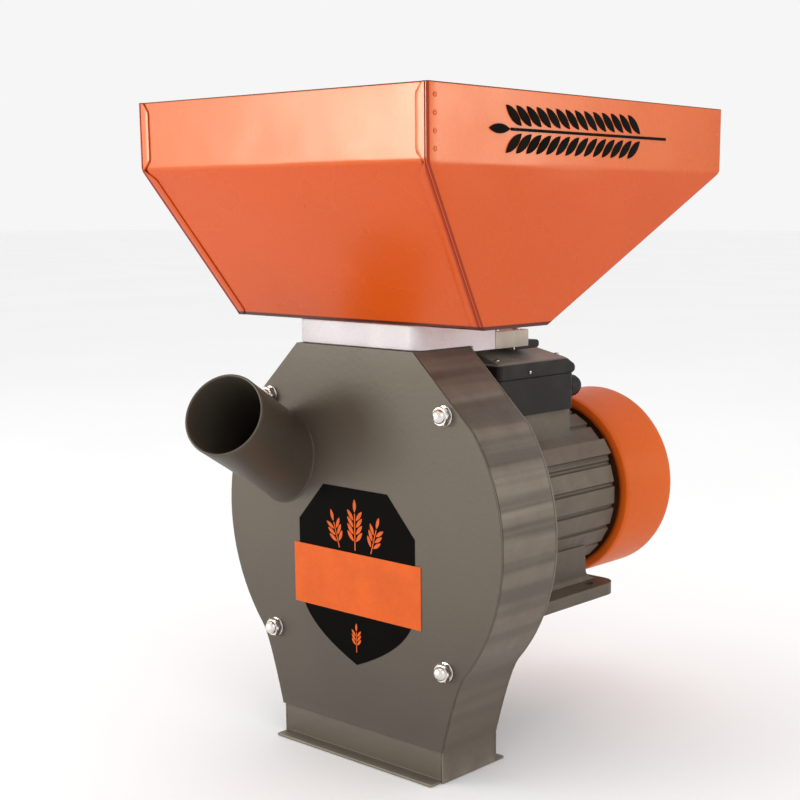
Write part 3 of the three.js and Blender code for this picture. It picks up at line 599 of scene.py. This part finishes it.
def waves(x, y, z, seed):
    """Slight unevenness of thin sheet, up to about half a millimetre either way."""
    broad = noise.noise(Vector((x / 60 + seed, y / 75, z / 55)))
    fine = noise.noise(Vector((x / 22, y / 26 + seed, z / 24)))
    return 0.55 * broad + 0.2 * fine


def fade(t):
    """0 at both ends of 0..1, 1 in the middle stretch."""
    return min(1.0, 6 * t, 6 * (1 - t))


def looseness(z):
    """How far the sheets may wander at a height: hardly at all at the floor, the knee and the rim."""
    between_ends = fade((z - FLOOR_Z) / (RIM_Z - FLOOR_Z))
    off_the_knee = fade(min(1.0, abs(z - KNEE_Z) / 30 + 0.02) / 2)
    return between_ends * off_the_knee


def side_panel_row(z, side):
    """One level of a side panel: front fold, front bend, the side itself, rear bend and rear fold."""
    half, front, rear = hopper_section(z)
    width = flange_width(z)
    r = FOLD_RADIUS
    row = [(half - width - 0.25, front + HOPPER_SHEET), (half - width, front + 0.1)]
    row += [(half - width + 0.3 + max(0.2, width - 3.5) * k / 2, front) for k in range(3)]
    crease = min(0.8, 0.4 * (width - 1))
    row += [(half - 2.6, front + crease), (half - 2.0, front), (half - r, front)]
    row += [(half - r + r * math.sin(turn), front + r - r * math.cos(turn)) for turn in FOLD_TURNS[1:]]
    steps = 44
    for k in range(1, steps):
        t = k / steps
        y = front + r + (rear - front - 2 * r) * t
        row.append((half + looseness(z) * fade(t) * waves(side * half, y, z, 3.0), y))
    row += [(half - r + r * math.cos(turn), rear - r + r * math.sin(turn)) for turn in FOLD_TURNS]
    row += [(half - r - (width - r) * k / 3, rear) for k in range(1, 4)]
    return [(side * x, y, z) for x, y in row]


def add_side_panel(name, side):
    rows = [side_panel_row(z, side) for z in hopper_heights()]
    if side < 0:
        rows = [row[::-1] for row in rows]
    piece = new_piece(name, *grid(rows), ORANGE, 50)
    thicken(piece, HOPPER_SHEET)
    return piece


def cross_panel_row(z, facing):
    """One level of the front (facing -1) or rear (+1) panel, tucked behind the side panels' folds."""
    half, front, rear = hopper_section(z)
    half -= HOPPER_SHEET + 0.1
    steps = 36
    face = front + HOPPER_SHEET + 0.15 if facing < 0 else rear - 1.6 * HOPPER_SHEET
    row = []
    for k in range(steps + 1):
        t = k / steps
        x = -half + 2 * half * t
        outwards = looseness(z) * fade(t) * waves(x, facing * 50.0, z, 7.0)
        row.append((x, face + facing * outwards, z))
    return row if facing < 0 else row[::-1]


def add_cross_panel(name, facing):
    rows = [cross_panel_row(z, facing) for z in hopper_heights()]
    piece = new_piece(name, *grid(rows), ORANGE, 50)
    thicken(piece, HOPPER_SHEET)
    return piece


def rectangle(left, right, front, rear, z):
    """Corners of a level rectangle, counter-clockwise seen from above."""
    return [(left, front, z), (right, front, z), (right, rear, z), (left, rear, z)]


def add_hopper_floor():
    """The floor plate with its feed opening, its edges let into the sheets around it."""
    spots = [(vertex.co - ORIGIN) / MM for vertex in NODES["hopper_floor"].data.vertices]
    plate_half = max(spot.x for spot in spots)
    rim = [spot for spot in spots if abs(spot.x) < plate_half - 1]
    half = max(spot.x for spot in rim)
    opening = (-half, half, min(spot.y for spot in rim), max(spot.y for spot in rim))
    plate = (SIDE_LAP - FLOOR_HALF, FLOOR_HALF - SIDE_LAP, FLOOR_FRONT + FRONT_LAP, FLOOR_REAR - REAR_LAP)
    top = FLOOR_Z + SHEET
    rows = [rectangle(*plate, FLOOR_Z), rectangle(*plate, top), rectangle(*opening, top),
            rectangle(*opening, FLOOR_Z), rectangle(*plate, FLOOR_Z)]
    piece = new_piece("hopper_floor_sheet", *grid(rows, closed=True), COVER_ORANGE, 30)
    add_modifier(piece, "WELD", merge_threshold=0.02 * MM)
    round_edges(piece, 0.3)
    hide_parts("hopper_floor")


def add_hopper():
    for name, side in (("left", -1), ("right", 1)):
        panel = add_side_panel(f"hopper_{name}_sheet", side)
        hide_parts(f"hopper_{name}_panel")
    for name, facing in (("front", -1), ("rear", 1)):
        panel = add_cross_panel(f"hopper_{name}_sheet", facing)
        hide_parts(f"hopper_{name}_panel")
    add_hopper_floor()


# ---------------------------------------------------------------- spot welds and screws

WELD_SPOTS = 4
WELD_START = 8          # the lowest spot's height above the knee
WELD_PITCH = 11
WELD_INSET = 6.5        # from the hopper's front or rear edge
WELD_RADIUS = 2.0
WELD_RISE = 0.35


def lens(radius, height):
    """A shallow dome facing -y, with its rim in the plane y = 0."""
    return lathe([(radius * k, -height * (1 - k * k)) for k in (1.0, 0.85, 0.6, 0.3)], 14)


def add_spot_welds():
    """Rows of spot-weld dimples along the folded edges of the hopper's upper band."""
    parts = []
    for side in (-1, 1):
        turn = Matrix.Rotation(side * math.pi / 2, 4, "Z")
        for y in (TOP_FRONT + WELD_INSET, TOP_REAR - WELD_INSET):
            for k in range(WELD_SPOTS):
                z = KNEE_Z + WELD_START + WELD_PITCH * k
                place = Matrix.Translation((side * (TOP_HALF - 0.05), y, z))
                parts.append(placed(lens(WELD_RADIUS, WELD_RISE), place @ turn))
    piece = new_piece("hopper_spot_welds", *merged(*parts), ORANGE, 60)


def screw_head(radius, height):
    """A pan head facing -y with a round recess, seated on the plane y = 0."""
    recess = 0.6
    profile = [(radius, 0), (radius, -height * 0.45), (radius * 0.9, -height * 0.8),
               (radius * 0.62, -height), (radius * 0.34, -height), (0.01, -height + recess)]
    return lathe(profile, 24)


# ---------------------------------------------------------------- inlet tube

TUBE_LEAN = math.radians(20)
TUBE_RISE = math.radians(28)
TUBE_BASE = (-78, 46)
TUBE_RADIUS = 31.5
TUBE_WALL = 2
TUBE_LENGTH = 101
TUBE_CLEAR = 46         # how far along its axis the whole pipe is clear of the cover
TUBE_FOOT = 1.8         # depth of the pipe's foot behind the cover's face
TUBE_BEAD = ((1.3, 0.0), (1.0, -0.5), (0.4, -1.2), (0, -1.8))   # weld bead: (beyond the pipe, y)
TUBE_DIRECTION = Vector((math.tan(TUBE_LEAN), -1, math.tan(TUBE_RISE))).normalized()


def add_inlet_tube():
    """A thin pipe cut flush with the cover, with a rounded mouth and a weld bead at its foot."""
    base = Vector((TUBE_BASE[0], 0, TUBE_BASE[1]))
    across = [swung(TUBE_DIRECTION).to_3x3() @ Vector(axis) for axis in ((1, 0, 0), (0, 0, 1))]
    segments = 128

    def ring_at(radius, along=None, plane=None):
        """A ring square to the pipe at a length along it, or cut off by a plane of constant y."""
        row = []
        for i in range(segments):
            angle = TAU * i / segments
            spot = base + radius * (math.cos(angle) * across[0] + math.sin(angle) * across[1])
            reach = along if along is not None else (plane - spot.y) / TUBE_DIRECTION.y
            row.append(tuple(spot + TUBE_DIRECTION * reach))
        return row

    outer, inner, lip = TUBE_RADIUS, TUBE_RADIUS - TUBE_WALL, TUBE_WALL / 2
    rows = [ring_at(outer, plane=TUBE_FOOT)]
    rows += [ring_at(outer + beyond, plane=y) for beyond, y in TUBE_BEAD]
    mouth = TUBE_LENGTH - lip
    lengths = [TUBE_CLEAR + (mouth - TUBE_CLEAR) * k / 6 for k in range(7)]
    rows += [ring_at(outer, along=length) for length in lengths]
    for k in range(1, 8):
        angle = math.pi * k / 8
        rows.append(ring_at(outer - lip + lip * math.cos(angle), along=mouth + lip * math.sin(angle)))
    rows += [ring_at(inner, along=length) for length in reversed(lengths)]
    rows += [ring_at(inner, plane=TUBE_FOOT), ring_at(outer, plane=TUBE_FOOT)]
    piece = new_piece("inlet_tube_pipe", *grid(rows, closed=True), TUBE_SHADED_GREY, 50, "cover")
    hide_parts("inlet_tube")


# ---------------------------------------------------------------- dome nuts

CORNERS = ("upper_left", "upper_right", "lower_left", "lower_right")
HEX_HEIGHT = 5.3
HEX_HALF_FLATS = 6.5
DOME_RADIUS = 5.5
DOME_HEIGHT = 5.0
NUT_SEGMENTS = 72


def hexagon_radius(angle):
    """Distance from a hexagon's centre to its side in a direction."""
    offset = (angle % (TAU / 6)) - TAU / 12
    return HEX_HALF_FLATS / math.cos(offset)


def hexagon_ring(y, limit):
    """The hexagon's outline at y, with its corners turned down to a limiting radius."""
    row = []
    for i in range(NUT_SEGMENTS):
        angle = TAU * i / NUT_SEGMENTS
        radius = min(limit, hexagon_radius(angle))
        row.append((radius * math.cos(angle), y, radius * math.sin(angle)))
    return row


def dome_nut():
    """A chamfered hexagon with a dome, on a washer, facing -y from the plane y = 0."""
    washer = lathe([(7.4, 0.0), (7.4, -0.8), (7.1, -1.1), (5.0, -1.1)], 48)
    corner = HEX_HALF_FLATS / math.cos(TAU / 12)
    shoulder = -HEX_HEIGHT - 0.5
    rows = [hexagon_ring(-1.2, corner - 0.5), hexagon_ring(-1.8, corner),
            hexagon_ring(-HEX_HEIGHT + 0.3, corner), hexagon_ring(shoulder, corner - 1.0)]
    for k in range(8):
        angle = math.pi / 2 * k / 8
        y = shoulder - (DOME_HEIGHT - 0.5) * math.sin(angle)
        rows.append(ring(DOME_RADIUS * math.cos(angle), y, NUT_SEGMENTS))
    return merged(washer, grid(rows, closed=True, caps=True))


def add_dome_nuts():
    for corner in CORNERS:
        node = f"dome_nut_{corner}"
        low, high = extent(node)
        x, z = (low.x + high.x) / 2, (low.z + high.z) / 2
        part = placed(dome_nut(), Matrix.Translation((x, 0, z)))
        piece = new_piece(f"{node}_chrome", *part, CHROME, 28, "cover")
        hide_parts(node)


# ---------------------------------------------------------------- sieve

SIEVE_END = math.radians(20)    # below the level through the shaft, on each side
SIEVE_CELL = 6.2
SIEVE_HOLE = 2.0 / SIEVE_CELL   # the holes' radius as a share of a cell
SIEVE_SHEET = 1.0
SIEVE_GAP = 1           # from the flat ends' tips to the CAD's


def add_sieve():
    """The curved screen with straight rows of eight-sided holes, and its two flat ends."""
    low, high = extent("sieve")
    radius = -low.z - SHEET
    from_angle, to_angle = SIEVE_END - math.pi, -SIEVE_END
    columns = round(radius * (to_angle - from_angle) / SIEVE_CELL)
    rows = round((high.y - low.y) / SIEVE_CELL)
    step_angle = (to_angle - from_angle) / columns
    step_y = (high.y - low.y) / rows
    points, faces, index = [], [], {}

    def vertex(u, v):
        """Index of the point at u cells round the arc and v cells along the shaft."""
        key = (round(u, 4), round(v, 4))
        if key not in index:
            index[key] = len(points)
            angle = from_angle + u * step_angle
            points.append((radius * math.cos(angle), low.y + v * step_y, radius * math.sin(angle)))
        return index[key]

    square = [(1, 0.5), (1, 1), (0.5, 1), (0, 1), (0, 0.5), (0, 0), (0.5, 0), (1, 0)]
    turns = [TAU * k / 8 for k in range(8)]
    octagon = [(SIEVE_HOLE * math.cos(turn), SIEVE_HOLE * math.sin(turn)) for turn in turns]
    for i in range(columns):
        for j in range(rows):
            outside = [vertex(i + du, j + dv) for du, dv in square]
            inside = [vertex(i + 0.5 + du, j + 0.5 + dv) for du, dv in octagon]
            for k in range(8):
                n = (k + 1) % 8
                faces.append((outside[k], outside[n], inside[n], inside[k]))
    for end, u in ((-1, 0), (1, columns)):
        tips = []
        for j in range(rows * 2 + 1):
            inner = vertex(u, j / 2)
            x, y, z = points[inner]
            scale = (high.x - SIEVE_GAP) / abs(x)
            tips.append((inner, len(points)))
            points.append((x * scale, y, z * scale))
        for (a, b), (c, d) in zip(tips, tips[1:]):
            faces.append((a, b, d, c) if end < 0 else (a, c, d, b))
    piece = new_piece("sieve_screen", points, faces, ZINC, 40)
    add_modifier(piece, "SOLIDIFY", thickness=SIEVE_SHEET * MM, offset=0.0)
    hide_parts("sieve")


# ---------------------------------------------------------------- fan cover

VENTS = 16
VENT_INNER, VENT_OUTER, VENT_HALF = 24, 58, 2.5
VENT_ENDS = (0, 0.35, 1.1, VENT_HALF)   # steps that draw a slot's round end
VENT_SPACING = 8                        # faces round the cover from one slot to the next
CLOSED_HALF = 0.02                      # half width of a slot's strip at its very ends
CLOSED_TURN = 0.0025                    # half angle of the strip on the rings without slots
COVER_CORNER = 8


def vent_half(r):
    """Half the width of a round-ended slot at a distance from the shaft."""
    near = min(r - VENT_INNER, VENT_OUTER - r)
    if near >= VENT_HALF:
        return VENT_HALF
    return max(CLOSED_HALF, math.sqrt(VENT_HALF ** 2 - (VENT_HALF - near) ** 2))


def vent_ring(r, y):
    """A ring whose points keep to the slots' two sides and are evenly spread between them."""
    half = math.asin(vent_half(r) / r) if VENT_INNER <= r <= VENT_OUTER else CLOSED_TURN
    turns = []
    for s in range(VENTS):
        side = s * TAU / VENTS + half
        span = TAU / VENTS - 2 * half
        turns += [side - 2 * half, side]
        turns += [side + span * k / VENT_SPACING for k in range(1, VENT_SPACING)]
    return [(r * math.cos(turn), y, r * math.sin(turn)) for turn in turns]


def add_fan_cover():
    """A drawn cap with radial slots with round ends and a lip turned inwards at its front edge."""
    low, high = extent("fan_cover")
    radius, front, rear = high.x, low.y, high.y
    face = [9, 16, *(VENT_INNER + step for step in VENT_ENDS), 33, 41, 49,
            *(VENT_OUTER - step for step in VENT_ENDS[::-1]), 65]
    bend = [(radius - COVER_CORNER + COVER_CORNER * math.sin(math.pi / 2 * k / 7),
             rear - COVER_CORNER + COVER_CORNER * math.cos(math.pi / 2 * k / 7)) for k in range(8)]
    side = [(radius, y) for y in (rear - 14, rear - 30, front + 18, front + 5, front + 1.6)]
    lip = [(radius - 0.5, front + 0.5), (radius - 1.6, front), (radius - 3.6, front), (radius - 6.4, front)]
    rows = [vent_ring(r, rear) for r in face] + [vent_ring(r, y) for r, y in bend + side + lip]
    open_rows = {i for i, r in enumerate(face) if VENT_INNER <= r < VENT_OUTER}
    count = len(rows[0])
    stride = VENT_SPACING + 1
    points = [point for row in rows for point in row]
    faces = [tuple(range(count))]
    for i in range(len(rows) - 1):
        for c in range(count):
            if i in open_rows and c % stride == 0:
                continue
            d = (c + 1) % count
            faces.append((i * count + d, i * count + c, (i + 1) * count + c, (i + 1) * count + d))
    piece = new_piece("fan_cover_cap", points, faces, COVER_ORANGE, 40)
    thicken(piece, SHEET)
    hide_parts("fan_cover")


# ---------------------------------------------------------------- badge and grain mark


def flat_plate(outline, y, thickness):
    """A thin plate in the xz plane, from a counter-clockwise outline, its front face at y."""
    rows = [[(x, y + thickness, z) for x, z in outline], [(x, y, z) for x, z in outline]]
    return grid(rows, closed=True, caps=True)


def shield_outline(half, top, bottom):
    """A plain shield: narrower straight top, sloping shoulders, upright sides and a pointed foot."""
    shoulder = top - 0.22 * (top - bottom)
    waist = bottom + 0.42 * (top - bottom)
    right = [(0, bottom)]
    for k in range(1, 13):
        t = 1 - k / 12
        right.append((half * (1 - t * t * (0.9 + 0.1 * t)), waist + (bottom - waist) * t ** 0.9))
    right += [(half, shoulder), (0.55 * half, top)]
    return right + [(-x, z) for x, z in right[:0:-1]]


def kernel(length, width):
    """A pointed oval outline along +z from the origin."""
    count = 9
    side = [(width / 2 * math.sin(math.pi * k / count) ** 0.8, length * k / count) for k in range(1, count)]
    return [(0, 0), *side, (0, length), *[(-x, z) for x, z in side[::-1]]]


def turned_outline(outline, angle, dx, dz):
    """An outline turned about its origin and then moved."""
    c, s = math.cos(angle), math.sin(angle)
    return [(x * c - z * s + dx, x * s + z * c + dz) for x, z in outline]


def grain_ear(pitch, pairs, stalk):
    """Outlines of an ear of grain standing along +z: a stalk and slanting pairs of separate kernels."""
    top = stalk + pairs * pitch
    half = 0.09 * pitch
    outlines = [[(-half, 0), (half, 0), (half, top), (-half, top)]]
    length, width, slant = 1.9 * pitch, 0.6 * pitch, math.radians(40)
    for k in range(pairs):
        for side in (-1, 1):
            outlines.append(turned_outline(
                kernel(length, width), side * slant, -side * 0.24 * pitch, stalk + k * pitch))
    outlines.append(turned_outline(kernel(length, width), 0, 0, top + 0.15 * pitch))
    return outlines


def sheaf():
    """Three ears of grain side by side, the outer two shorter and leaning outwards."""
    outlines = grain_ear(5.4, 4, 7)
    for side in (-1, 1):
        outlines += [turned_outline(outline, -side * 0.3, side * 17, 0) for outline in grain_ear(5.0, 3, 5)]
    return outlines


BADGE_LOW, BADGE_HIGH, BADGE_HALF = -108, 30, 62
BAND_LOW, BAND_HIGH, BAND_HALF = -68, -20, 68
MARK_PITCH, MARK_PAIRS, MARK_STALK = 10.6, 14, 34
MARK_END_Y, MARK_Z = 188, 289
MARK_PROUD, MARK_SUNK = 0.5, 0.3
LAYER_STEP = 0.01       # keeps overlapping kernels out of one another's plane


def add_badge():
    """A plain shield plate with a sheaf of grain over a broad plain band, on the front cover."""
    band = [(-BAND_HALF, BAND_LOW), (BAND_HALF, BAND_LOW), (BAND_HALF, BAND_HIGH), (-BAND_HALF, BAND_HIGH)]
    sheaf_outlines = [[(x, z + BAND_HIGH + 2.5) for x, z in outline] for outline in sheaf()]
    small = [[(x, z + BADGE_LOW + 10) for x, z in outline] for outline in grain_ear(3.4, 3, 6)]
    layers = [
        ("badge_plate", [shield_outline(BADGE_HALF, BADGE_HIGH, BADGE_LOW)], -0.35, 0.35, BADGE_BLACK),
        ("badge_band", [band], -0.6, 0.6, BADGE_ORANGE),
        ("badge_sheaf", sheaf_outlines, -0.5, 0.2, BADGE_ORANGE),
        ("badge_small_ear", small, -0.5, 0.2, BADGE_ORANGE),
    ]
    for name, outlines, y, thickness, material in layers:
        parts = [flat_plate(outline, y - LAYER_STEP * k, thickness) for k, outline in enumerate(outlines)]
        piece = new_piece(name, *merged(*parts), material, 30, "cover")


def add_hopper_mark():
    """A dark ear of grain lying along the hopper's right side, in place of any lettering."""
    parts = []
    for k, outline in enumerate(grain_ear(MARK_PITCH, MARK_PAIRS, MARK_STALK)):
        face = TOP_HALF + MARK_PROUD + LAYER_STEP * k
        front = [(face, MARK_END_Y - z, MARK_Z + x) for x, z in outline]
        back = [(TOP_HALF - MARK_SUNK, y, z) for _, y, z in front]
        parts.append(grid([back, front], closed=True, caps=True))
    piece = new_piece("hopper_grain_mark", *merged(*parts), BADGE_BLACK, 30)


# ---------------------------------------------------------------- small fasteners

GUIDE_HEAD, LID_HEAD, SIDE_HEAD = (3.4, 1.9), (2.2, 1.4), (1.5, 0.9)    # (radius, height)
GUIDE_INSET = 7
LID_INSET_X, LID_INSET_FRONT, LID_INSET_REAR = 9, 8, 17
LID_SHOULDER = 15.1     # height of the lid's sloping top under its screws
LID_SIDE_SCREW = (0.38, 4.6)    # share of the lid's length from its front, height above its lower edge


def add_fasteners():
    """Pan heads on the gate guide and on the lid's top, and a small one in the lid's right side."""
    heads = []
    up = swung((0, 0, -1))
    low, high = extent("gate_guide")
    for side in (-1, 1):
        for y in (low.y + GUIDE_INSET, high.y - GUIDE_INSET):
            place = Matrix.Translation((side * (high.x - GUIDE_INSET), y, high.z))
            heads.append(placed(screw_head(*GUIDE_HEAD), place @ up))
    low, high = extent("terminal_box_lid")
    for side in (-1, 1):
        for y in (low.y + LID_INSET_FRONT, high.y - LID_INSET_REAR):
            place = Matrix.Translation((side * (high.x - LID_INSET_X), y, low.z + LID_SHOULDER))
            heads.append(placed(screw_head(*LID_HEAD), place @ up))
    share, rise = LID_SIDE_SCREW
    place = Matrix.Translation((high.x, low.y + share * (high.y - low.y), low.z + rise))
    heads.append(placed(screw_head(*SIDE_HEAD), place @ swung((-1, 0, 0))))
    piece = new_piece("small_screws", *merged(*heads), STEEL, 30)


# ---------------------------------------------------------------- everything together

add_hopper()
add_spot_welds()
add_hopper_mark()
add_inlet_tube()
add_dome_nuts()
add_sieve()
add_fan_cover()
add_badge()
add_fasteners()

dress("feed_neck", WHITE, 0.8, 3)
dress("gate_guide", GUIDE_ZINC, 0.5, 3)
dress("gate_plate", ZINC, 0.4)
dress("gate_grip", BLACK, 0.8)
dress("housing_band", BENT_GREY, 0.5)
dress("back_plate", GREY, 0.5)
dress("outlet_front", GREY, 0.5)
dress("front_cover", COVER_GREY, 1.7, 4)
for corner_name in CORNERS:
    dress(f"stud_{corner_name}", STEEL, 0.5)
    dress(f"hammer_pin_{corner_name}", STEEL, 0.5)
    for bay in ("front", "rear"):
        dress(f"hammer_{corner_name}_{bay}", DARK_STEEL, 0.6)
for node_name, finish in (
    ("motor_shaft", STEEL), ("rotor_hub", DARK_STEEL), ("rotor_disc_front", DARK_STEEL),
    ("rotor_disc_rear", DARK_STEEL), ("rotor_nut", ZINC), ("motor_front_shield", MOTOR),
    ("bearing_front", CHROME), ("bearing_rear", CHROME), ("stator_housing", MOTOR),
    ("stator_core", DARK_STEEL), ("winding_front", COPPER), ("winding_rear", COPPER),
    ("rotor_core", DARK_STEEL), ("motor_rear_shield", MOTOR), ("cooling_fan", FAN_SHADE_BROWN),
    ("run_capacitor", ALUMINIUM), ("cable_gland", BLACK), ("switch_body", BLACK), ("switch_rocker", BLACK),
):
    dress(node_name, finish, 0.45)
for side_name in ("left", "right"):
    dress(f"motor_foot_{side_name}", MOTOR, 1.6, 3)
dress("terminal_box", BLACK, 1.2, 3)
dress("terminal_box_lid", LID_BLACK, 0.8, 3, 12)

STAGE_HALF = 30.0       # metres
STAGE_DROP = 0.0005     # metres


def add_floor():
    """A wide pale floor just below the outlet's lips."""
    graph = Graph("floor")
    graph.set("Base Color", graph.spread(graph.noise(1.5), srgb(250, 250, 250), srgb(252, 252, 252)))
    graph.set("Roughness", graph.spread(graph.noise(6), 0.75, 0.9))
    size = STAGE_HALF
    level = CAD_BOX[0].z - STAGE_DROP
    corners = [(-size, -size, level), (size, -size, level), (size, size, level), (-size, size, level)]
    mesh = bpy.data.meshes.new("floor")
    mesh.from_pydata(corners, [], [(0, 1, 2, 3)])
    mesh.materials.append(graph.material)
    floor = bpy.data.objects.new("floor", mesh)
    bpy.context.scene.collection.objects.link(floor)


add_floor()

bpy.context.view_layer.update()
